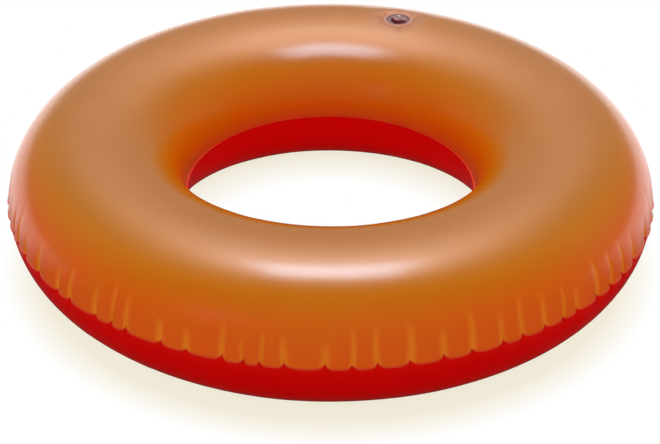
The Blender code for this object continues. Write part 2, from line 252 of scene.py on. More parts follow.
# %% Columns of points round the ring
PLEAT_SHARES = (0.0, 0.05, 0.125, 0.225, 0.35, 0.5, 0.65, 0.775, 0.875, 0.95)
LEAN_SEED = 5
LARGEST_LEAN = 0.006

Column = namedtuple("Column", "azimuth across crease_depth crease_height crest_depth crest_height lean")


def make_columns():
    """Ten columns of points for every pleat. Across is 1 on a crease and 0 on the crest between two."""
    rng = random.Random(LEAN_SEED)
    leans = [rng.uniform(-LARGEST_LEAN, LARGEST_LEAN) for _ in creases]
    columns = []
    for index, crease in enumerate(creases):
        following = creases[(index + 1) % len(creases)]
        lean_after = leans[(index + 1) % len(creases)]
        gap = (following.azimuth - crease.azimuth) % math.tau
        crest_depth = (crease.depth + following.depth) / 2
        crest_height = (crease.height + following.height) / 2
        for share in PLEAT_SHARES:
            nearer = crease if share < 0.5 else following
            lean = leans[index] * (1.0 - share) + lean_after * share
            azimuth = crease.azimuth + share * gap
            across = abs(2.0 * share - 1.0)
            columns.append(
                Column(azimuth, across, nearer.depth, nearer.height, crest_depth, crest_height, lean)
            )
    return columns


fine = make_columns()
half = fine[::2]
quarter = fine[::4]
print(len(fine), len(half), len(quarter), "columns")

# %% A sheet to collect points and faces
ADDRESS_FIELDS = ("azimuth", "section", "margin", *Column._fields[1:], "weld")


class Sheet:
    """Points by address, and the faces between them."""

    def __init__(self):
        self.points = []
        self.faces = []

    def row(self, columns, section, margin=0.0, weld=0.0):
        """A closed row round the ring, as (azimuth, point) pairs."""
        start = len(self.points)
        for column in columns:
            self.points.append((column.azimuth, section, margin, *column[1:], weld))
        return [(column.azimuth, start + index) for index, column in enumerate(columns)]

    def band(self, first, second, leave_out=None):
        """Joins two rows: with squares where their counts match, and otherwise with triangles."""
        count = len(first)
        if count == len(second):
            for index in range(count):
                after = (index + 1) % count
                middle = first[index][0] + ((first[after][0] - first[index][0]) % math.tau) / 2
                if leave_out is None or not leave_out(middle):
                    corners = (first[index], second[index], second[after], first[after])
                    self.faces.append([corner[1] for corner in corners])
            return
        ring_a = first + [(first[0][0] + math.tau, first[0][1])]
        ring_b = second + [(second[0][0] + math.tau, second[0][1])]
        a = 0
        b = 0
        while a < len(first) or b < len(second):
            step_a = b == len(second) or (a < len(first) and ring_a[a + 1][0] <= ring_b[b + 1][0])
            if step_a:
                self.faces.append([ring_a[a][1], ring_b[b][1], ring_a[a + 1][1]])
                a += 1
            else:
                self.faces.append([ring_a[a][1], ring_b[b][1], ring_b[b + 1][1]])
                b += 1


print("a sheet point carries", len(ADDRESS_FIELDS), "numbers")

# %% [markdown]
# Both films are laid in rows from the outer weld to the inner one. The pleats need many points, and the
# smooth crown needs few. So the rows close to the outer seam use all columns, a few rows above them use
# every second one, and the rest use every fourth. One plan for each film says where its rows change.

# %% Rows from seam to seam
QUARTER_TURN = math.pi / 2
CROWN_STEP = math.radians(4.5)
LAST_CROWN_STEP = 20
WELD_SHARES = (1.0, 0.7, 0.35)

RowPlan = namedtuple("RowPlan", "pleat_top pleat_steps shoulders first_crown_step")
UPPER_PLAN = RowPlan(pleat_top=28.0, pleat_steps=24, shoulders=(30.5, 33.5, 37.0), first_crown_step=-11)
LOWER_PLAN = RowPlan(pleat_top=13.0, pleat_steps=12, shoulders=(15.0, 18.0, 22.5), first_crown_step=-14)


def lay_rows(sheet, plan):
    """(section, row) pairs through the outer weld, pleats, shoulder, crown and inner weld."""
    rows = [(0.0, sheet.row(fine, 0.0, OUTER_WELD_MARGIN * share, 1.0)) for share in WELD_SHARES]
    pleat_top = math.radians(plan.pleat_top)
    for step in range(plan.pleat_steps + 1):
        section = pleat_top * step / plan.pleat_steps
        rows.append((section, sheet.row(fine, section)))
    for degrees in plan.shoulders:
        section = math.radians(degrees)
        rows.append((section, sheet.row(half, section)))
    for step in range(plan.first_crown_step, LAST_CROWN_STEP + 1):
        section = QUARTER_TURN + CROWN_STEP * step
        rows.append((section, sheet.row(quarter, section)))
    for share in reversed(WELD_SHARES):
        rows.append((math.pi, sheet.row(quarter, math.pi, INNER_WELD_MARGIN * share, 1.0)))
    return rows


print("the crown has a row every", round(math.degrees(CROWN_STEP), 2), "degrees")

# %% [markdown]
# The upper film also has a round hole for the valve. A rectangle of the coarse grid is left out there,
# and rings of points, closer together towards the valve, fill it. Such a patch keeps the dimple smooth
# without making the whole film fine.

# %% The patch round the valve's hole
PATCH_ROWS = 6
PATCH_AZIMUTH = math.radians(9.8)
PATCH_SIDES = 72
PATCH_RADII = (
    0.0380, 0.0360, 0.0342, 0.0324, 0.0306, 0.0288, 0.0272, 0.0256, 0.0242, 0.0229, 0.0217, 0.0206,
    0.0197, 0.0189, 0.0183, FLANGE_RADIUS, 0.0173, 0.0166, 0.0158, 0.0150, 0.0144, VALVE_HOLE_RADIUS,
)
UNPLEATED = Column(
    azimuth=0.0, across=0.0, crease_depth=0.0, crease_height=1.0, crest_depth=0.0, crest_height=1.0,
    lean=0.0,
)


def patch_edges():
    """The azimuths of the two grid columns that border the patch."""
    azimuths = [column.azimuth for column in quarter]
    left = max(azimuth for azimuth in azimuths if azimuth < QUARTER_TURN - PATCH_AZIMUTH)
    right = min(azimuth for azimuth in azimuths if azimuth > QUARTER_TURN + PATCH_AZIMUTH)
    return left, right


def patch_border(rows, left, right):
    """The grid's points round the patch, as (angle about the valve, point) pairs in order."""
    border = []
    for index, (section, row) in enumerate(rows):
        on_end = index in (0, len(rows) - 1)
        reach = CENTRE_RADIUS + HALF_WIDTH * math.cos(section)
        for azimuth, point in row:
            if azimuth in (left, right) or (on_end and left < azimuth < right):
                x = reach * math.cos(azimuth)
                y = reach * math.sin(azimuth)
                border.append((math.atan2(y - VALVE_REACH, x), point))
    return sorted(border)


def valve_address(radius, angle):
    """The address of a point that lies a radius from the valve's axis, seen from above."""
    x = radius * math.cos(angle)
    y = VALVE_REACH + radius * math.sin(angle)
    section = math.acos((math.hypot(x, y) - CENTRE_RADIUS) / HALF_WIDTH)
    return (math.atan2(y, x), section, 0.0, *UNPLEATED[1:], 0.0)


def fill_patch(sheet, border):
    """Rings of points from the patch's border to the valve's hole, and the bands between them."""
    rings = [border]
    for radius in PATCH_RADII:
        ring = []
        for side in range(PATCH_SIDES):
            angle = math.tau * side / PATCH_SIDES - math.pi
            ring.append((angle, len(sheet.points)))
            sheet.points.append(valve_address(radius, angle))
        rings.append(ring)
    for ring, following in zip(rings, rings[1:]):
        sheet.band(ring, following)


print("the patch has", len(PATCH_RADII), "rings")


# %% Lay out the upper film
def lay_upper_sheet():
    sheet = Sheet()
    rows = lay_rows(sheet, UPPER_PLAN)
    left, right = patch_edges()
    crown = next(index for index, (section, _) in enumerate(rows) if abs(section - QUARTER_TURN) < 1e-6)
    patch_start = crown - PATCH_ROWS
    patch_end = crown + PATCH_ROWS
    for index in range(len(rows) - 1):
        in_patch = patch_start <= index < patch_end
        leave_out = (lambda middle: left < middle < right) if in_patch else None
        sheet.band(rows[index][1], rows[index + 1][1], leave_out)
    fill_patch(sheet, patch_border(rows[patch_start : patch_end + 1], left, right))
    return sheet


upper_sheet = lay_upper_sheet()
print(len(upper_sheet.points), "points,", len(upper_sheet.faces), "faces in the upper sheet")

# %% [markdown]
# The lower film has no valve, and its pleats are shorter. Its rows run from the outer weld down to the
# strip that the ring rests on, and up again on the hole's side.


# %% Lay out the lower film
def lay_lower_sheet():
    sheet = Sheet()
    rows = lay_rows(sheet, LOWER_PLAN)
    for (_, row), (_, following) in zip(rows, rows[1:]):
        sheet.band(row, following)
    return sheet


lower_sheet = lay_lower_sheet()
print(len(lower_sheet.points), "points,", len(lower_sheet.faces), "faces in the lower sheet")

# %% [markdown]
# ## Blow it up with Geometry Nodes
# The tree reads each point's address and works out where inflated film puts it. On a crease the film is
# pulled in, between creases it bulges out, and both fade with height. Close to the weld the lobe
# between two creases is round; higher up it flattens, so the crease becomes a narrow line. Every size is
# a named input, so another ring is a matter of other numbers. Soft film folds deeper than the frame's
# plain pleats, with a calmer seam, and two factors say by how much.

# %% The sizes that the tree takes
FOLD_RELIEF = 1.2
SEAM_RELIEF = 0.75
FILM_VALUES = {
    "Centre radius": CENTRE_RADIUS,
    "Half width": HALF_WIDTH,
    "Half height": HALF_HEIGHT,
    "Centre height": CENTRE_HEIGHT,
    "Weld lift": WELD_GAP / 2 + FILM_THICKNESS,
    "Weld tilt": OUTER_WELD_TILT,
    "Pleat depth": PLEAT_DEPTH * FOLD_RELIEF,
    "Pleat droop": PLEAT_DROOP * SEAM_RELIEF,
    "Crest share": PLEAT_CREST_SHARE,
    "Lobe roundness": 3.4,
    "Seam squareness": 6.0,
    "Crease narrowing": 2.0,
    "Pleat fade": 0.8,
    "Ripple": 0.0012,
    "Ripple scale": 3.5,
    "Valve reach": VALVE_REACH,
    "Seat height": CROWN_HEIGHT - DIMPLE_DEPTH,
    "Seat radius": FLANGE_RADIUS,
    "Dimple radius": DIMPLE_RADIUS,
    "Fold angle": math.radians(-74.0),
    "Fold depth": 0.0018,
    "Fold length": 0.0210,
    "Fold width": 0.0030,
    "Pucker": 0.0005,
}
UPPER_VALUES = {**FILM_VALUES, "Side": 1.0, "Pleat height": UPPER_PLEAT_HEIGHT, "Dimple": 1.0}
LOWER_VALUES = {**FILM_VALUES, "Side": -1.0, "Pleat height": LOWER_PLEAT_HEIGHT, "Dimple": 0.0}
print(len(UPPER_VALUES), "sizes for each film")


# %% How a tree starts and ends
def start_tree(name, inputs):
    """A new Geometry Nodes tree with a geometry input and a number input for each name."""
    tree = bpy.data.node_groups.new(name, "GeometryNodeTree")
    tree.interface.new_socket("Geometry", in_out="INPUT", socket_type="NodeSocketGeometry")
    for item in inputs:
        tree.interface.new_socket(item, in_out="INPUT", socket_type="NodeSocketFloat")
    tree.interface.new_socket("Geometry", in_out="OUTPUT", socket_type="NodeSocketGeometry")
    graph = Graph(tree)
    group = tree.nodes.new("NodeGroupInput")
    wires = {item: Wire(graph, group.outputs[item]) for item in ("Geometry", *inputs)}
    return graph, wires


def end_tree(graph, geometry, material):
    """Realize Instances, Set Material and the output, in that order."""
    real = graph.add("GeometryNodeRealizeInstances", None, {"Geometry": geometry})
    painted = graph.add("GeometryNodeSetMaterial", None, {"Geometry": real, "Material": material})
    graph.add("NodeGroupOutput", None, {"Geometry": painted})
    return graph.tree


def named(graph, name):
    """A number of the address that a point carries."""
    settings = {"data_type": "FLOAT"}
    return graph.add("GeometryNodeInputNamedAttribute", settings, {"Name": name}, "Attribute")


print("a tree reads", ", ".join(ADDRESS_FIELDS))


# %% The rule for pleats
def fade(share, height, power):
    """1 at the weld, 0 from where the pleat ends."""
    return (1.0 - share / height).clamp() ** power


def pleated_film(size, at, share):
    """How far the film bulges out, sags at the seam and bows aside within its pleat."""
    crest_fade = fade(share, at["crest_height"], size["Pleat fade"])
    crease_fade = fade(share, at["crease_height"], size["Pleat fade"])
    crest = at["crest_depth"] * size["Crest share"] * crest_fade
    crease = at["crease_depth"] * (1.0 - size["Crest share"]) * crease_fade
    sharpness = size["Lobe roundness"] + share * size["Crease narrowing"]
    bulge = crest - (crest + crease) * at["across"] ** sharpness
    sag = crest - (crest + crease) * at["across"] ** size["Seam squareness"]
    bow = share * (1.0 - share).clamp() * 2.0 * at["lean"]
    return bulge, sag, bow


print(f"pleats {UPPER_PLEAT_HEIGHT * 1000:.0f} mm high above, {LOWER_PLEAT_HEIGHT * 1000:.0f} mm below")

# %% [markdown]
# Round the valve the film is drawn down to a flat seat, which is where the flange is welded under it. A
# dimple could be sculpted, but then it wouldn't follow the seat's size. So it is a rule too, with one
# radial fold and small puckers, because the film has more length there than the seat needs.

# %% The rule for the dimple
PEAK = 27.0 / 4.0
PUCKER_WAVES = ((9.0, 0.7), (5.0, 2.1))
FOLD_TAPER = 1.3


def dimpled(size, x, y, tube):
    """The film's height near the valve. PEAK makes the peak of t * (1 - t) ** 2 come to 1."""
    ahead = y - size["Valve reach"]
    distance = level_length(x, ahead)
    beyond = distance - size["Seat radius"]
    share = (beyond / (size["Dimple radius"] - size["Seat radius"])).clamp()
    angle = ahead.math("ARCTAN2", x)
    hump = share * (1.0 - share) ** 2.0 * PEAK
    many, few = ((angle * count + phase).math("SINE") * 0.5 for count, phase in PUCKER_WAVES)
    pucker = many + few

    turned = angle - size["Fold angle"]
    along = (beyond / size["Fold length"]).clamp()
    aside = distance * turned.math("SINE") / (size["Fold width"] * (FOLD_TAPER - along))
    facing = turned.math("COSINE").math("GREATER_THAN", 0.0)
    groove = (aside * aside * -1.0).math("EXPONENT") * along * (1.0 - along) ** 2.0 * PEAK * facing

    seated = size["Seat height"] + (tube - size["Seat height"]) * (1.0 - (1.0 - share) ** 3.0)
    folded = seated + hump * pucker * size["Pucker"] - groove * size["Fold depth"]
    return tube + (folded - tube) * size["Dimple"]


print(f"the dimple is {DIMPLE_DEPTH * 1000:.1f} mm deep and {DIMPLE_RADIUS * 2000:.0f} mm wide")

# %% [markdown]
# The tree puts these rules together. Even taut film isn't quite even, so a slow noise lets the tube
# swell and shrink by a fraction of a millimetre. The lowest strip is pressed flat on the floor.

# %% The tree that inflates a film
RIPPLE_STRETCH = 0.35


def ripple(graph, size, azimuth, section):
    """A slow noise from -0.5 to 0.5 that closes on itself round the ring."""
    axes = {0: azimuth.math("COSINE"), 1: azimuth.math("SINE"), 2: section * RIPPLE_STRETCH}
    place = graph.add("ShaderNodeCombineXYZ", None, axes)
    return noise(graph, place, size["Ripple scale"], 1.0, 0.4) - 0.5


def inflate_tree(material):
    graph, size = start_tree("inflated film", UPPER_VALUES)
    at = {name: named(graph, name) for name in ADDRESS_FIELDS}
    section = at["section"]
    share = section * size["Half height"] / size["Pleat height"]
    bulge, sag, bow = pleated_film(size, at, share)

    plain_reach = size["Centre radius"] + size["Half width"] * section.math("COSINE")
    azimuth = at["azimuth"] + bow / plain_reach
    lift = section.math("SINE")
    swell = 1.0 + ripple(graph, size, azimuth, section) * size["Ripple"] * lift / size["Half width"]
    on_outer_side = section.math("LESS_THAN", 1.0)
    tilt = size["Weld tilt"] * at["weld"] * on_outer_side
    off = size["Side"] * (size["Half height"] * lift * swell).math("MAXIMUM", size["Weld lift"])
    reach = (
        size["Centre radius"]
        + size["Half width"] * section.math("COSINE") * swell
        + at["margin"] * section.math("COSINE") * tilt.math("COSINE")
        + off * tilt.math("SINE")
        + bulge * size["Pleat depth"]
    )
    tube = (
        size["Centre height"]
        + off * tilt.math("COSINE")
        - at["margin"] * tilt.math("SINE")
        - sag * size["Pleat droop"]
    )

    x = reach * azimuth.math("COSINE")
    y = reach * azimuth.math("SINE")
    height = dimpled(size, x, y, tube).math("MAXIMUM", 0.0)
    place = graph.add("ShaderNodeCombineXYZ", None, {0: x, 1: y, 2: height})
    inputs = {"Geometry": size["Geometry"], "Position": place}
    moved = graph.add("GeometryNodeSetPosition", None, inputs)
    return end_tree(graph, moved, material)


print("the ripple spans at most", round(FILM_VALUES["Ripple"] * 1000, 1), "mm")

# %% [markdown]
# ## Two finishes of film
# Both films are thin PVC. The upper one is embossed, so it is satin and milky; the lower one is clear
# red and glossy. They could be made see-through, but then the colours would hang on what each light ray
# meets inside. So one recipe of opaque colours serves both: a colour that follows the height, a little
# mottling, and a fine bump. On the orange film the colour by height is painted light, the glow of the
# red film through it. Where the sheets are welded, the die has pressed a narrow knurl.


# %% Helpers for shaders
def start_material(name):
    """A material with an empty tree, and the Graph that fills it."""
    material = bpy.data.materials.new(name)
    material.use_nodes = True
    material.node_tree.nodes.clear()
    return material, Graph(material.node_tree)


def finish_material(graph, **sockets):
    """The Principled shader and the output. A word stands for the socket of that name."""
    inputs = {}
    for word, value in sockets.items():
        inputs[word.replace("_", " ").title().replace("Ior", "IOR")] = value
    shader = graph.add("ShaderNodeBsdfPrincipled", None, inputs)
    graph.add("ShaderNodeOutputMaterial", None, {"Surface": shader})


def object_place(graph):
    """Object coordinates, and their x, y and z as numbers."""
    place = graph.add("ShaderNodeTexCoord", None, None, "Object")
    axes = graph.add("ShaderNodeSeparateXYZ", None, {0: place})
    return place, *(Wire(graph, axes.socket.node.outputs[index]) for index in range(3))


def blended(graph, share, first, second):
    """A colour between two colours."""
    settings = {"data_type": "RGBA", "blend_type": "MIX"}
    inputs = {"Factor_Float": share, "A_Color": solid(first), "B_Color": solid(second)}
    return graph.add("ShaderNodeMix", settings, inputs, "Result_Color")


def solid(colour):
    return (*colour, 1.0) if isinstance(colour, tuple) else colour


def ramped(graph, share, stops):
    """A colour that follows a share from stop to stop."""
    return graph.add("ShaderNodeValToRGB", {"stops": stops}, {"Fac": share}, "Color")


def stored(graph, name):
    """A number that the film's points carry."""
    return graph.add("ShaderNodeAttribute", {"attribute_name": name}, None, "Fac")


def bump(graph, height, strength, distance):
    inputs = {"Height": height, "Strength": strength, "Distance": distance}
    return graph.add("ShaderNodeBump", None, inputs)


print("shader helpers ready")

# %% What both films share
WELD_RED = (0.70, 0.030, 0.0)
KNURL_PER_RADIAN = 1400.0
KNURL_RELIEF = 0.6
SIDE_BLEND = 0.05


def towards_hole(x, y):
    """0 on the ring's outside and 1 on the hole's side, blended over the tube's middle."""
    return ((CENTRE_RADIUS - level_length(x, y)) / SIDE_BLEND + 0.5).clamp()


def knurled(x, y, weld):
    """Fine ridges across the weld, from the welding die."""
    return (y.math("ARCTAN2", x) * KNURL_PER_RADIAN).math("SINE") * weld * KNURL_RELIEF


def mottled(graph, place, scale, start):
    """Soft clouds, where a noise is above a start."""
    return (noise(graph, place, scale, 3.0) - start).clamp()


knurl_pitch = (CENTRE_RADIUS + HALF_WIDTH) * math.tau / KNURL_PER_RADIAN
print(f"the weld has a ridge every {knurl_pitch * 1000:.1f} mm")

# %% [markdown]
# ### The orange film
# It is redder low down and browner on the crown: painted light, the glow of the red film shining through
# from behind. Between the pleats that painted glow is stronger, and on a crease it is paler, a painted
# gleam. Round the valve, over the flange and in soft clouds round it, it has a pink painted sheen.

# %% The orange film's colours
# Painted light: redder low down and browner on the crown, for the red film's glow through the orange one.
OUTSIDE_GLOW_BY_HEIGHT = (
    (0.00, (0.76, 0.110, 0.0)),
    (0.25, (0.73, 0.105, 0.0)),
    (0.48, (0.70, 0.108, 0.0)),
    (0.62, (0.62, 0.130, 0.0)),
    (0.76, (0.56, 0.152, 0.0)),
    (0.85, (0.49, 0.148, 0.0)),
    (1.00, (0.41, 0.124, 0.0)),
)
INSIDE_GLOW_BY_HEIGHT = (
    (0.00, (0.74, 0.058, 0.0)),
    (0.20, (0.73, 0.098, 0.0)),
    (0.45, (0.66, 0.130, 0.0)),
    (0.65, (0.57, 0.148, 0.0)),
    (0.80, (0.49, 0.146, 0.0)),
    (1.00, (0.41, 0.124, 0.0)),
)
MILKY_ORANGE = (0.54, 0.175, 0.0)
# Painted light on the pleats: a stronger red glow between creases and a paler gleam on each crease.
BETWEEN_PLEATS_GLOW = (0.74, 0.058, 0.0)
CREASE_GLEAM = (0.92, 0.320, 0.012)
# Painted sheen: pink on the valve's seat and in soft clouds round the valve.
SEAT_SHEEN_PINK = (0.56, 0.27, 0.22)
VALVE_SHEEN_PINK = (0.52, 0.23, 0.19)
MILKY_SHARE = 0.45
BETWEEN_GLOW_SHARE = 0.40
CREASE_GLEAM_SHARE = 0.55
CREASE_GLEAM_START = 0.64
CREASE_GLEAM_BLEND = 0.30
PLEAT_COLOUR_FADE = 0.6
SEAT_SHEEN_SHARE = 0.35
SEAT_EDGE = FLANGE_RADIUS + 0.0002
SEAT_BLEND = 0.0008
VALVE_SHEEN_SHARE = 0.35
VALVE_SHEEN_REACH = 0.024


# The colour by height is painted light: the red film's glow through the orange film.
def orange_with_painted_glow(graph, place, inward, z):
    rise = z.rising(CENTRE_HEIGHT, HALF_HEIGHT)
    outside = ramped(graph, rise, OUTSIDE_GLOW_BY_HEIGHT)
    inside = ramped(graph, rise, INSIDE_GLOW_BY_HEIGHT)
    plain = blended(graph, inward, outside, inside)
    milky = mottled(graph, place, scale=15.0, start=0.35)
    return blended(graph, milky * MILKY_SHARE, plain, MILKY_ORANGE)


# Paints light on the pleats: more red glow between creases, and a paler gleam on each crease.
def pleat_glow_and_gleam(graph, body, outward, z):
    height = stored(graph, "crease_height")
    share = (z - CENTRE_HEIGHT) / UPPER_PLEAT_HEIGHT / height
    pleated = (1.0 - share).clamp() ** PLEAT_COLOUR_FADE
    between = blended(graph, pleated * outward * BETWEEN_GLOW_SHARE, body, BETWEEN_PLEATS_GLOW)
    fold = stored(graph, "across").rising(CREASE_GLEAM_START, CREASE_GLEAM_BLEND) * pleated * outward
    return blended(graph, fold * CREASE_GLEAM_SHARE, between, CREASE_GLEAM)


print(len(OUTSIDE_GLOW_BY_HEIGHT), "stops outside,", len(INSIDE_GLOW_BY_HEIGHT), "on the hole's side")


# %% The orange film
def make_orange_film():
    material, graph = start_material("satin orange film")
    place, x, y, z = object_place(graph)
    inward = towards_hole(x, y)
    plain = orange_with_painted_glow(graph, place, inward, z)
    body = pleat_glow_and_gleam(graph, plain, 1.0 - inward, z)
    weld = stored(graph, "weld")
    welded = blended(graph, weld, body, WELD_RED)

    # Painted sheen round the valve: pink clouds, and a pinker seat.
    from_valve = level_length(x, y - VALVE_REACH)
    cloud = (1.0 - (from_valve - FLANGE_RADIUS) / VALVE_SHEEN_REACH).clamp()
    valve_sheened = blended(graph, cloud * VALVE_SHEEN_SHARE, welded, VALVE_SHEEN_PINK)
    seat = from_valve.falling(SEAT_EDGE, SEAT_BLEND)
    colour = blended(graph, seat * SEAT_SHEEN_SHARE, valve_sheened, SEAT_SHEEN_PINK)

    relief = noise(graph, place, scale=1800.0) * 0.25 + knurled(x, y, weld)
    uneven = noise(graph, place, scale=60.0) * 0.05
    finish_material(
        graph,
        base_color=colour,
        roughness=0.20 + uneven + weld * 0.30 - seat * 0.06,
        specular_ior_level=0.24,
        normal=bump(graph, relief, strength=0.25, distance=0.0002),
    )
    return material


orange_film = make_orange_film()
print(orange_film.name, len(orange_film.node_tree.nodes), "nodes")

# %% [markdown]
# ### The red film
# It is one pure red that gets a little deeper towards the floor, with a lighter red painted on the
# hole's side against the shade there. It hardly mirrors the room, because what a clear film shows most
# is the light that comes through it, so its specular level is low.

# %% The red film
RED_BY_HEIGHT = (
    (0.00, (0.50, 0.0, 0.0)),
    (0.30, (0.56, 0.0, 0.0)),
    (0.85, (0.62, 0.0, 0.0)),
    (1.00, (0.68, 0.004, 0.0)),
)
DEEP_RED = (0.48, 0.0, 0.0)
DEEP_SHARE = 0.5
# Painted light: a lighter red on the hole's side, against the shade there.
HOLE_SIDE_LIT_RED = (0.80, 0.0, 0.0)


def make_red_film():
    material, graph = start_material("glossy red film")
    place, x, y, z = object_place(graph)
    by_height = ramped(graph, (z / CENTRE_HEIGHT).clamp(), RED_BY_HEIGHT)
    deep = mottled(graph, place, scale=16.0, start=0.4)
    outer = blended(graph, deep * DEEP_SHARE, by_height, DEEP_RED)
    # The hole's side gets a lighter painted red, against its shade.
    body = blended(graph, towards_hole(x, y), outer, HOLE_SIDE_LIT_RED)
    weld = stored(graph, "weld")
    relief = noise(graph, place, scale=90.0) * 0.5 + knurled(x, y, weld)
    finish_material(
        graph,
        base_color=blended(graph, weld, body, WELD_RED),
        roughness=0.16 + noise(graph, place, scale=40.0) * 0.08,
        specular_ior_level=0.03,
        normal=bump(graph, relief, strength=0.12, distance=0.0004),
    )
    return material


red_film = make_red_film()
print(red_film.name, len(red_film.node_tree.nodes), "nodes")

# %% [markdown]
# ## Inflate the two films
# Geometry Nodes gives the outer face; a Solidify modifier then gives the film its real thickness of
# 0.3 mm, inwards. Both are evaluated once and kept as a plain mesh.


# %% From a sheet to a film
def settle(item, sharp_degrees):
    """Replaces an object's mesh by its evaluated one, and removes the modifiers."""
    bpy.context.view_layer.update()
    evaluated = item.evaluated_get(bpy.context.evaluated_depsgraph_get())
    mesh = bpy.data.meshes.new_from_object(evaluated)
    mesh.name = item.name
    item.modifiers.clear()
    item.data = mesh
    mesh.shade_smooth()
    mesh.set_sharp_from_angle(angle=math.radians(sharp_degrees))
    return item


def report(item):
    """Prints a piece's faces and volume; a closed piece that faces outwards has a volume above 0."""
    bm = bmesh.new()
    bm.from_mesh(item.data)
    open_edges = sum(1 for edge in bm.edges if not edge.is_manifold)
    volume = bm.calc_volume(signed=True) * 1e6
    print(f"{item.name}: {len(bm.faces)} faces, {open_edges} open edges, {volume:.2f} ml")
    bm.free()


def set_inputs(modifier, values):
    """Sets a modifier's inputs by their sockets' identifiers."""
    for socket in modifier.node_group.interface.items_tree:
        if socket.name in values and socket.in_out == "INPUT":
            modifier[socket.identifier] = values[socket.name]


def sheet_mesh(name, sheet, flip):
    """The sheet laid flat on the floor, with the address stored on its points."""
    mesh = bpy.data.meshes.new(name)
    spots = []
    for azimuth, section, margin, *_ in sheet.points:
        reach = CENTRE_RADIUS + (HALF_WIDTH + margin) * math.cos(section)
        spots.append((reach * math.cos(azimuth), reach * math.sin(azimuth), 0.0))
    faces = [face[::-1] for face in sheet.faces] if flip else sheet.faces
    mesh.from_pydata(spots, [], faces)
    for index, field in enumerate(ADDRESS_FIELDS):
        attribute = mesh.attributes.new(field, "FLOAT", "POINT")
        attribute.data.foreach_set("value", [point[index] for point in sheet.points])
    return mesh


print("a film is", FILM_THICKNESS * 1000, "mm thick")

# %% Inflate one film
PAINTED_FIELDS = ("weld", "across", "crease_height")


def inflate(name, sheet, tree, values, flip):
    """Gives a sheet its shape and its wall. A flipped one has its faces turned over first."""
    mesh = sheet_mesh(name, sheet, flip)
    film = bpy.data.objects.new(name, mesh)
    bpy.context.scene.collection.objects.link(film)
    modifier = film.modifiers.new("Inflate", "NODES")
    modifier.node_group = tree
    set_inputs(modifier, values)
    wall = film.modifiers.new("Thickness", "SOLIDIFY")
    wall.thickness = FILM_THICKNESS
    wall.offset = -1.0
    wall.use_even_offset = False
    settle(film, 50.0)
    for field in ADDRESS_FIELDS:
        if field not in PAINTED_FIELDS:
            film.data.attributes.remove(film.data.attributes[field])
    report(film)
    return film


print("the shaders read", ", ".join(PAINTED_FIELDS))

# %% Inflate both
orange_top = inflate("orange_top_film", upper_sheet, inflate_tree(orange_film), UPPER_VALUES, True)
red_bottom = inflate("red_bottom_film", lower_sheet, inflate_tree(red_film), LOWER_VALUES, False)

# %% [markdown]
# ## The valve
# A push-in valve is one soft clear moulding: a flange welded under the film, a thin web that lets the
# stem be pushed into the ring, a stem with a check flap, and a plug on a strap. The frame says how large
# each of them is, and the sizes below repeat it.

# %% Valve sizes
FLANGE_THICKNESS = 0.0010
FLANGE_RIM_THICKNESS = 0.0006
WELL_RADIUS = 0.0098
WEB_THICKNESS = 0.0007
WEB_DEPTH = 0.0100
MOULDED_GAP = 0.0003
STEM_RADIUS = 0.0049
STEM_BORE_RADIUS = 0.0036
STEM_RISE = 0.0010
STEM_RIM_WIDTH = 0.0009
STEM_RIM_HEIGHT = 0.0010
STEM_COLLAR_WIDTH = 0.0011
STEM_COLLAR_HEIGHT = 0.0012
FLAP_OVERLAP = 0.0010
FLAP_THICKNESS = 0.0005
FLAP_HINGE_OFFSET = 0.0042
PLUG_HEAD_RADIUS = 0.0060
PLUG_HEAD_HEIGHT = 0.0018
PLUG_DISH_DEPTH = 0.0004
PLUG_DISH_RADIUS = 0.0040
PLUG_SHANK_LENGTH = 0.0062
PLUG_TAPER = 0.0005
PLUG_CLEARANCE = 0.0003
PLUG_WALL = 0.0011
PLUG_HOLLOW_DEPTH = 0.0045
STRAP_WIDTH = 0.0032
STRAP_THICKNESS = 0.0007
STRAP_REACH = 0.0040
STEM_TOP = FILM_THICKNESS + VALVE_SEAT_GAP + STEM_RISE
STEM_BASE = -WEB_DEPTH
STEM_RIM_RADIUS = STEM_RADIUS + STEM_RIM_WIDTH
STEM_COLLAR_RADIUS = STEM_RADIUS + STEM_COLLAR_WIDTH
PLUG_UNDERSIDE = STEM_TOP + MOULDED_GAP
PLUG_SHANK_RADIUS = STEM_BORE_RADIUS - PLUG_CLEARANCE
print(f"stem from {STEM_BASE * 1000:.1f} to {STEM_TOP * 1000:.1f} mm about the flange's top")

# %% [markdown]
# ### Clear vinyl
# Clear soft PVC bends light like glass, and its moulded surface is not quite flat. Its red tint is
# painted light: the dim red glow of the ring's inside, seen through the valve.

# %% The clear vinyl
# Painted light: a dark red tint for the glow of the ring's inside, seen through the clear vinyl.
DEEP_INSIDE_GLOW = (0.60, 0.17, 0.17)
PALE_INSIDE_GLOW = (0.78, 0.36, 0.36)


def make_clear_vinyl():
    material, graph = start_material("clear soft vinyl")
    place, *_ = object_place(graph)
    cloud = noise(graph, place, scale=260.0)
    relief = noise(graph, place, scale=700.0)
    finish_material(
        graph,
        base_color=blended(graph, cloud, DEEP_INSIDE_GLOW, PALE_INSIDE_GLOW),
        roughness=0.14 + cloud * 0.10,
        ior=1.53,
        transmission_weight=0.85,
        normal=bump(graph, relief, strength=0.10, distance=0.0002),
    )
    return material


clear_vinyl = make_clear_vinyl()
print(clear_vinyl.name, len(clear_vinyl.node_tree.nodes), "nodes")

# %% [markdown]
# ### A lathe
# All of the valve but its strap and its flap are turned shapes. They could be modelled by hand, but a
# lathe is exact: a profile of corners, each with its own rounding, is spun round the valve's axis. A
# corner's rounding stops short of the middle of its edges, so that two roundings never meet.

# %% Corners made round
TURN_SIDES = 64
ROUND_STEPS = 4
LARGEST_ROUNDING_SHARE = 0.45
Corner = namedtuple("Corner", "radius height rounding", defaults=(0.0,))


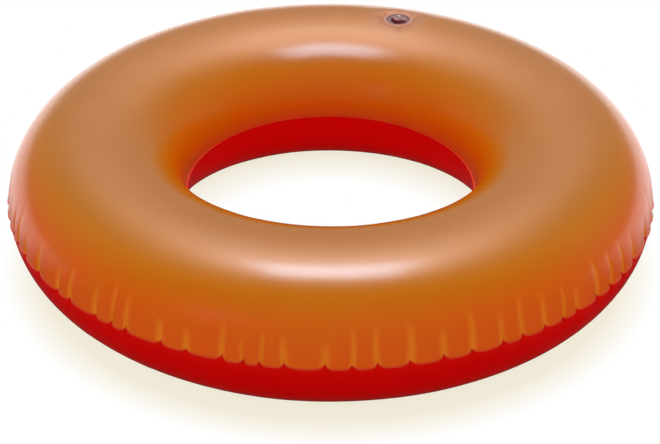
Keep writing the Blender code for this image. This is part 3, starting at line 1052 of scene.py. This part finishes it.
def round_off(profile, closed):
    """The profile as (radius, height) points, with each rounded corner made a short curve."""
    points = []
    count = len(profile)
    for index, corner in enumerate(profile):
        middle = Vector((corner.radius, corner.height))
        at_end = not closed and index in (0, count - 1)
        if corner.rounding == 0.0 or at_end:
            points.append(middle)
            continue
        before = Vector(profile[index - 1][:2]) - middle
        after = Vector(profile[(index + 1) % count][:2]) - middle
        longest = min(before.length, after.length) * LARGEST_ROUNDING_SHARE
        reach = min(corner.rounding, longest)
        start = middle + before.normalized() * reach
        end = middle + after.normalized() * reach
        for step in range(ROUND_STEPS + 1):
            share = step / ROUND_STEPS
            points.append(start * (1 - share) ** 2 + middle * 2 * share * (1 - share) + end * share**2)
    return points


def sides_of(path):
    """For each point of a path, the unit vector to the left of it."""
    sides = []
    for index in range(len(path)):
        along = (path[min(index + 1, len(path) - 1)] - path[max(index - 1, 0)]).normalized()
        sides.append(Vector((-along.y, along.x)))
    return sides


print("a rounded corner has", ROUND_STEPS + 1, "points")


# %% The lathe
def add_piece(bm, name, material, sharp_degrees=50.0):
    """Makes the object from local valve coordinates, with its place in its mesh."""
    bmesh.ops.remove_doubles(bm, verts=bm.verts, dist=1e-7)
    bmesh.ops.recalc_face_normals(bm, faces=bm.faces)
    bmesh.ops.translate(bm, verts=bm.verts, vec=VALVE_CENTRE)
    mesh = bpy.data.meshes.new(name)
    bm.to_mesh(mesh)
    bm.free()
    mesh.materials.append(material)
    mesh.shade_smooth()
    mesh.set_sharp_from_angle(angle=math.radians(sharp_degrees))
    piece = bpy.data.objects.new(name, mesh)
    bpy.context.scene.collection.objects.link(piece)
    report(piece)
    return piece


def turn(name, points, closed, material):
    """Spins a profile of (radius, height) points round the valve's axis."""
    bm = bmesh.new()
    verts = [bm.verts.new((point[0], 0.0, point[1])) for point in points]
    pairs = list(zip(verts, verts[1:]))
    if closed:
        pairs.append((verts[-1], verts[0]))
    edges = [bm.edges.new(pair) for pair in pairs]
    bmesh.ops.spin(
        bm, geom=verts + edges, cent=(0, 0, 0), axis=(0, 0, 1), angle=math.tau,
        steps=TURN_SIDES, use_merge=True,
    )
    return add_piece(bm, name, material)


print("the lathe turns in", TURN_SIDES, "steps")

# %% [markdown]
# ### Flange and web
# The flange is a flat ring with a low lip that centres it in the film's hole. The web is folded down when
# the valve is pushed in, so its section is a smooth step, with three faint folds. Soft vinyl would
# crease unevenly, which a turned shape can't do, but folds as shallow as these don't show it.

# %% Flange and web
LIP_INNER_RADIUS = 0.0124
LIP_OUTER_RADIUS = 0.0133
LIP_SLOPE = 0.0003
LIP_HEIGHT = 0.0004
WEB_STEPS = 28
WEB_FOLDS = 3
WEB_FOLD_DEPTH = 0.00016


def make_flange():
    shoulder = WELL_RADIUS + (FLANGE_RADIUS - WELL_RADIUS) / 3
    profile = [
        Corner(WELL_RADIUS, 0.0, 0.0003),
        Corner(LIP_INNER_RADIUS, 0.0, 0.0001),
        Corner(LIP_INNER_RADIUS + LIP_SLOPE, LIP_HEIGHT, 0.0002),
        Corner(LIP_OUTER_RADIUS - LIP_SLOPE, LIP_HEIGHT, 0.0002),
        Corner(LIP_OUTER_RADIUS, 0.0, 0.0001),
        Corner(FLANGE_RADIUS, 0.0, 0.0003),
        Corner(FLANGE_RADIUS, -FLANGE_RIM_THICKNESS, 0.0002),
        Corner(shoulder, -FLANGE_THICKNESS, 0.0004),
        Corner(WELL_RADIUS, -FLANGE_THICKNESS, 0.0003),
    ]
    return turn("flange_ring", round_off(profile, True), True, clear_vinyl)


def make_web():
    top_radius = WELL_RADIUS - MOULDED_GAP - WEB_THICKNESS / 2
    bottom_radius = STEM_COLLAR_RADIUS + MOULDED_GAP + WEB_THICKNESS / 2
    top = -FLANGE_THICKNESS / 2
    bottom = STEM_BASE + STEM_COLLAR_HEIGHT / 2
    path = []
    for step in range(WEB_STEPS + 1):
        share = step / WEB_STEPS
        inward = (1.0 - math.cos(math.pi * share)) / 2
        fold = WEB_FOLD_DEPTH * math.sin(math.tau * WEB_FOLDS * share) * math.sin(math.pi * share)
        radius = top_radius + (bottom_radius - top_radius) * inward + fold
        path.append(Vector((radius, top + (bottom - top) * share)))
    sides = sides_of(path)
    left = [point + side * WEB_THICKNESS / 2 for point, side in zip(path, sides)]
    right = [point - side * WEB_THICKNESS / 2 for point, side in zip(path, sides)]
    return turn("well_web", left + right[::-1], True, clear_vinyl)


flange_ring = make_flange()
well_web = make_web()

# %% [markdown]
# ### Stem, plug and flap
# The stem has a rim that can be gripped and a collar at its foot. The plug's head is dished and its shank
# is hollow and tapered, so that it springs into the bore. Both are turned. The flap is a disc with one
# straight side, its hinge, so it is cut out flat, given its thickness, and bevelled.


# %% Stem and plug
def make_stem():
    rim_base = STEM_TOP - STEM_RIM_HEIGHT
    collar_top = STEM_BASE + STEM_COLLAR_HEIGHT
    profile = [
        Corner(STEM_BORE_RADIUS, STEM_TOP, 0.0003),
        Corner(STEM_RIM_RADIUS, STEM_TOP, 0.0004),
        Corner(STEM_RIM_RADIUS, rim_base, 0.0003),
        Corner(STEM_RADIUS, rim_base - STEM_RIM_WIDTH, 0.0003),
        Corner(STEM_RADIUS, collar_top, 0.0003),
        Corner(STEM_COLLAR_RADIUS, collar_top, 0.0003),
        Corner(STEM_COLLAR_RADIUS, STEM_BASE, 0.0002),
        Corner(STEM_BORE_RADIUS, STEM_BASE, 0.0002),
    ]
    return turn("valve_tube", round_off(profile, True), True, clear_vinyl)


def make_plug():
    head_top = PLUG_UNDERSIDE + PLUG_HEAD_HEIGHT
    tip = PLUG_UNDERSIDE - PLUG_SHANK_LENGTH
    tip_radius = PLUG_SHANK_RADIUS - PLUG_TAPER
    hollow_radius = tip_radius - PLUG_WALL
    profile = [
        Corner(0.0, head_top - PLUG_DISH_DEPTH),
        Corner(PLUG_DISH_RADIUS, head_top - PLUG_DISH_DEPTH, 0.0004),
        Corner(PLUG_DISH_RADIUS + PLUG_DISH_DEPTH, head_top, 0.0003),
        Corner(PLUG_HEAD_RADIUS, head_top, 0.0005),
        Corner(PLUG_HEAD_RADIUS, PLUG_UNDERSIDE, 0.0004),
        Corner(PLUG_SHANK_RADIUS, PLUG_UNDERSIDE, 0.0002),
        Corner(tip_radius, tip, 0.0004),
        Corner(hollow_radius, tip, 0.0002),
        Corner(hollow_radius, tip + PLUG_HOLLOW_DEPTH, 0.0003),
        Corner(0.0, tip + PLUG_HOLLOW_DEPTH),
    ]
    return turn("stopper", round_off(profile, False), False, clear_vinyl)


valve_tube = make_stem()
stopper = make_plug()

# %% Flap
FLAP_RIM_STEPS = 40
FLAP_EDGE_ROUNDING = 0.00012


def make_flap():
    """A thin disc under the stem's bore, cut straight along its hinge."""
    radius = STEM_BORE_RADIUS + FLAP_OVERLAP
    cut = math.asin(FLAP_HINGE_OFFSET / radius)
    height = STEM_BASE - MOULDED_GAP
    bm = bmesh.new()
    rim = []
    for step in range(FLAP_RIM_STEPS + 1):
        angle = -cut + (math.pi + 2 * cut) * step / FLAP_RIM_STEPS
        rim.append(bm.verts.new((radius * math.cos(angle), radius * math.sin(angle), height)))
    top = bm.faces.new(rim)
    grown = bmesh.ops.extrude_face_region(bm, geom=[top])
    lowered = [item for item in grown["geom"] if isinstance(item, bmesh.types.BMVert)]
    bmesh.ops.translate(bm, verts=lowered, vec=(0.0, 0.0, -FLAP_THICKNESS))
    rims = [edge for edge in bm.edges if abs(edge.verts[0].co.z - edge.verts[1].co.z) < 1e-9]
    bmesh.ops.bevel(
        bm, geom=rims, offset=FLAP_EDGE_ROUNDING, segments=2, profile=0.5, affect="EDGES"
    )
    return add_piece(bm, "flap_disc", clear_vinyl, 30.0)


flap_disc = make_flap()

# %% [markdown]
# ### The strap
# A flat strap keeps the plug from getting lost. It leaves the stem's rim, turns over and comes back to
# the plug's head. So its path is two straights and a half circle, and a flat section with round sides is
# swept along it.

# %% Strap
STRAP_BEND_STEPS = 20
STRAP_ROUND_STEPS = 3


def strap_path():
    low = STEM_TOP - STEM_RIM_HEIGHT / 2
    high = PLUG_UNDERSIDE + PLUG_HEAD_HEIGHT / 2
    bend = (high - low) / 2
    turn_x = PLUG_HEAD_RADIUS + STRAP_REACH
    start = STEM_RIM_RADIUS + MOULDED_GAP
    end = PLUG_HEAD_RADIUS + MOULDED_GAP
    path = [(start + share * (turn_x - start), low) for share in (0.0, 0.33, 0.66)]
    for step in range(STRAP_BEND_STEPS + 1):
        angle = math.pi * step / STRAP_BEND_STEPS
        path.append((turn_x + bend * math.sin(angle), low + bend - bend * math.cos(angle)))
    for share in (0.33, 0.66, 1.0):
        path.append((turn_x + share * (end - turn_x), high))
    return [Vector(point) for point in path], low, high


def strap_section():
    """A flat section with rounded sides, as (across, up) pairs."""
    radius = STRAP_THICKNESS / 2
    flat = STRAP_WIDTH / 2 - radius
    section = []
    for side in (1, -1):
        for step in range(STRAP_ROUND_STEPS * 2 + 1):
            angle = -math.pi / 2 + math.pi * step / (STRAP_ROUND_STEPS * 2)
            section.append((side * (flat + radius * math.cos(angle)), side * radius * math.sin(angle)))
    return section


def make_strap():
    path, low, high = strap_path()
    section = strap_section()
    bm = bmesh.new()
    rings = []
    for point, up in zip(path, sides_of(path)):
        ring = []
        for across, lift in section:
            spot = point + up * lift
            ring.append(bm.verts.new((spot.x, across, spot.y)))
        rings.append(ring)
    count = len(section)
    for ring, following in zip(rings, rings[1:]):
        for index in range(count):
            after = (index + 1) % count
            bm.faces.new((ring[index], following[index], following[after], ring[after]))
    bm.faces.new(rings[0])
    bm.faces.new(rings[-1])
    return add_piece(bm, "stopper_strap", clear_vinyl), low, high


stopper_strap, strap_low, strap_high = make_strap()

# %% [markdown]
# ## Fit the pieces to the frame
# Each piece but the web and the strap rides on the body that moves it. The web joins the ring to the stem
# and the strap joins the stem to the plug; these two stay where they are made, on no body.

# %% Bodies and the pieces they replace
for piece, body, node, slot in (
    (orange_top, "ring", "upper_film", "orange_film"),
    (red_bottom, "ring", "lower_film", "red_film"),
    (flange_ring, "ring", "valve_flange", "clear_vinyl"),
    (valve_tube, "stem", "valve_stem", "clear_vinyl"),
    (flap_disc, "flap", "check_flap", "clear_vinyl"),
    (stopper, "plug", "valve_plug", "clear_vinyl"),
):
    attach(piece, body)
    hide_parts(node)
    print(piece.name, "rides on", body)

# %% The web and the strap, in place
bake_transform(well_web)
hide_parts("valve_web")
strap_start = VALVE_CENTRE + Vector((0.0, 0.0, strap_low + STRAP_THICKNESS / 2))
strap_end = VALVE_CENTRE + Vector((0.0, 0.0, strap_high - STRAP_THICKNESS / 2))
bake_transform(stopper_strap)
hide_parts("plug_strap")

# %% [markdown]
# ## Camera, light and floor
# The ring is seen from a little above, with a long lens, so that its near and far sides are almost as
# large. Lamps and studio are placed by their turn from straight behind the ring, as the camera sees it.

# %% Where the camera looks from
CAMERA_AZIMUTH = math.radians(17.7)
CAMERA_ELEVATION = math.radians(31.315)
CAMERA_DISTANCE = 2.7019
CAMERA_LENS = 129.44
SENSOR_WIDTH = 36.0
CAMERA_ROLL = math.radians(0.188)
AIM_HEIGHT = 0.0379
AIM_ASIDE = -0.0006


def seen_from(turn_degrees, elevation_degrees):
    """A direction, by its turn from straight behind the ring and its elevation."""
    turned = math.radians(turn_degrees) + CAMERA_AZIMUTH
    elevation = math.radians(elevation_degrees)
    level = math.cos(elevation)
    return Vector((-math.sin(turned) * level, math.cos(turned) * level, math.sin(elevation)))


def make_camera():
    camera = bpy.data.objects.new("camera", bpy.data.cameras.new("camera"))
    camera.data.lens = CAMERA_LENS
    camera.data.sensor_width = SENSOR_WIDTH
    back = seen_from(180.0, math.degrees(CAMERA_ELEVATION))
    aim = seen_from(-90.0, 0.0) * AIM_ASIDE + Vector((0.0, 0.0, AIM_HEIGHT))
    place = aim + back * CAMERA_DISTANCE
    turn_to = back.to_track_quat("Z", "Y").to_matrix().to_4x4()
    camera.matrix_world = Matrix.Translation(place) @ turn_to @ Matrix.Rotation(CAMERA_ROLL, 4, "Z")
    bpy.context.scene.collection.objects.link(camera)
    bpy.context.scene.camera = camera
    return camera


camera = make_camera()
print("camera at", [round(value, 3) for value in camera.location])

# %% [markdown]
# ### The lamps
# Satin film shows the lamps themselves as well as their light. One softbox could do both, but the light
# has to be broad and high, and the two long highlights call for a smaller lamp that hangs lower, over the
# middle of the hole. So most lamps light the film without being seen in it, and one, the gleam, is seen
# only in reflections. It is cool, because the film's own orange adds to every highlight.

# %% The lamps
WHITE_LIGHT = (1.0, 1.0, 1.0)
COOL_LIGHT = (0.5, 0.85, 1.2)
Lamp = namedtuple("Lamp", "name turn elevation distance size power lights reflects colour")
LAMPS = (
    Lamp("overhead softbox", 0.0, 82.0, 2.93, (1.2, 0.85), 28.0, True, False, WHITE_LIGHT),
    Lamp("overhead gleam", 0.0, 88.4, 1.77, (0.76, 0.48), 27.0, False, True, COOL_LIGHT),
    Lamp("back softbox", 0.0, 60.0, 3.3, (1.3, 1.1), 7.0, True, False, WHITE_LIGHT),
    Lamp("dim front softbox", 142.0, 26.0, 2.6, (0.7, 0.7), 0.9, True, True, WHITE_LIGHT),
    Lamp("side softbox", -80.0, 16.0, 2.0, (0.5, 0.9), 1.8, True, False, WHITE_LIGHT),
    Lamp("side softbox", 80.0, 16.0, 2.0, (0.5, 0.9), 1.0, True, False, WHITE_LIGHT),
)


def hang(lamp):
    """Hangs an area lamp that faces the floor's middle."""
    data = bpy.data.lights.new(lamp.name, "AREA")
    data.shape = "RECTANGLE"
    data.size, data.size_y = lamp.size
    data.energy = lamp.power
    data.color = lamp.colour
    hung = bpy.data.objects.new(lamp.name, data)
    direction = seen_from(lamp.turn, lamp.elevation)
    facing = direction.to_track_quat("Z", "Y").to_matrix().to_4x4()
    hung.matrix_world = Matrix.Translation(direction * lamp.distance) @ facing
    hung.visible_camera = False
    hung.visible_diffuse = lamp.lights
    hung.visible_glossy = lamp.reflects
    bpy.context.scene.collection.objects.link(hung)


for lamp in LAMPS:
    hang(lamp)
print(len(LAMPS), "lamps hung")

# %% [markdown]
# ### The floor
# The floor is white paper. Lit paper would turn grey, so to the camera it glows at a strength of 1, which
# is plain white, and only close to the ring does a part of it stay paper that takes the shadow. There a
# warm tint is painted into its glow and its paper, for the light that the film colours as it falls
# through. In reflections it is bright only behind the ring, which keeps the colour of the near flank
# full.

# %% The floor
FLOOR_HALF_SIZE = 6.0
WHITE = (1.0, 1.0, 1.0)
# Painted light: a warm tint near the ring, for light that the film colours.
WARM_PAINTED_GLOW = (1.0, 0.96, 0.80)
PAPER = (0.86, 0.86, 0.86)
WARM_PAINTED_PAPER = (0.84, 0.76, 0.60)
WARM_START = 0.155
WARM_START_BLEND = 0.07
WARM_END = 0.375
WARM_END_BLEND = 0.045
SHADOW_SHARE = 0.18
BRIGHT_START = 0.37
BRIGHT_BLEND = 0.16
BACK_START = -0.22
BACK_BLEND = 0.45
FRONT_MIRRORED = 0.06
BACK_MIRRORED = 1.5


def ray_kinds(graph):
    """1 for a ray from the camera or through glass, and 1 for a ray that a surface mirrored."""
    camera_ray = graph.add("ShaderNodeLightPath", None, None, "Is Camera Ray")
    outputs = camera_ray.socket.node.outputs
    seen = camera_ray.math("MAXIMUM", Wire(graph, outputs["Is Transmission Ray"]))
    return seen, Wire(graph, outputs["Is Glossy Ray"])


def make_floor_material():
    material, graph = start_material("white studio floor")
    _, x, y, _ = object_place(graph)
    distance = level_length(x, y)
    near = distance.falling(WARM_END, WARM_END_BLEND) * distance.rising(WARM_START, WARM_START_BLEND)
    away = seen_from(0.0, 0.0)
    behind = ((x * away.x + y * away.y) / distance).rising(BACK_START, BACK_BLEND)
    clear = distance.rising(BRIGHT_START, BRIGHT_BLEND)
    reflected = FRONT_MIRRORED + behind * clear * BACK_MIRRORED
    seen, mirrored = ray_kinds(graph)
    strength = 1.0 + mirrored * (reflected - 1.0)
    # Near the ring the glow and the paper get the painted warm tint.
    glow = {"Color": blended(graph, near, WHITE, WARM_PAINTED_GLOW), "Strength": strength}
    paper = {"Color": blended(graph, near, PAPER, WARM_PAINTED_PAPER)}
    white = graph.add("ShaderNodeEmission", None, glow)
    matte = graph.add("ShaderNodeBsdfDiffuse", None, paper)
    share = (seen * (1.0 - near * SHADOW_SHARE)).math("MAXIMUM", mirrored)
    mixed = graph.add("ShaderNodeMixShader", None, {0: share, 1: matte, 2: white})
    graph.add("ShaderNodeOutputMaterial", None, {"Surface": mixed})
    return material


def make_floor():
    bm = bmesh.new()
    bmesh.ops.create_grid(bm, x_segments=4, y_segments=4, size=FLOOR_HALF_SIZE)
    mesh = bpy.data.meshes.new("floor")
    bm.to_mesh(mesh)
    bm.free()
    floor = bpy.data.objects.new("floor", mesh)
    bpy.context.scene.collection.objects.link(floor)
    mesh.materials.append(make_floor_material())
    return floor


floor = make_floor()
print("the floor is", floor.dimensions.x, "m wide")

# %% [markdown]
# ### The studio round it
# The world is the room that the film mirrors. A picture of a studio would do, but a few numbers do as
# well. The world is white to the camera and lights the film softly, with more from the front. In
# reflections it glows high behind the ring, is weaker to the sides, and is dark on the camera's side.

# %% The studio round it
AMBIENT_LIGHT = 0.60
FRONT_FILL = 0.50
HALO_ELEVATION = 75.0
HALO_STRENGTH = 27.0
HALO_LIMIT = 11.0
HALO_FALL = 3.8
HALO_END = 0.8
HALO_BLEND = 0.5
HALO_AT_THE_SIDES = 0.25
BACKDROP = 0.3
BACKDROP_START = -0.25
BACKDROP_BLEND = 0.5


def along(graph, direction, axis):
    """How far a direction runs along an axis, from -1 to 1."""
    settings = {"operation": "DOT_PRODUCT"}
    return graph.add("ShaderNodeVectorMath", settings, {0: direction, 1: tuple(axis)}, "Value")


def make_world():
    world = bpy.data.worlds.new("white studio")
    world.use_nodes = True
    world.node_tree.nodes.clear()
    graph = Graph(world.node_tree)
    direction = graph.add("ShaderNodeTexCoord", None, None, "Generated")
    ahead = along(graph, direction, seen_from(0.0, 0.0))
    apart = along(graph, direction, seen_from(0.0, HALO_ELEVATION)).math("ARCCOSINE")
    aside = along(graph, direction, seen_from(90.0, 0.0)).math("ABSOLUTE")
    narrowed = aside.falling(HALO_END, HALO_BLEND).math("MAXIMUM", HALO_AT_THE_SIDES)
    halo = ((apart * -HALO_FALL).math("EXPONENT") * HALO_STRENGTH).math("MINIMUM", HALO_LIMIT)
    backdrop = (halo * narrowed + BACKDROP) * ahead.rising(BACKDROP_START, BACKDROP_BLEND)
    ambient = AMBIENT_LIGHT * (1.0 - ahead * FRONT_FILL)
    seen, mirrored = ray_kinds(graph)
    lit = mirrored * backdrop + (1.0 - mirrored) * ambient
    strength = seen + (1.0 - seen) * lit
    inputs = {"Color": (1.0, 1.0, 1.0, 1.0), "Strength": strength}
    background = graph.add("ShaderNodeBackground", None, inputs)
    graph.add("ShaderNodeOutputWorld", None, {"Surface": background})
    bpy.context.scene.world = world
    return world


world = make_world()
bpy.context.scene.view_settings.view_transform = "Standard"
print(world.name, len(world.node_tree.nodes), "nodes")
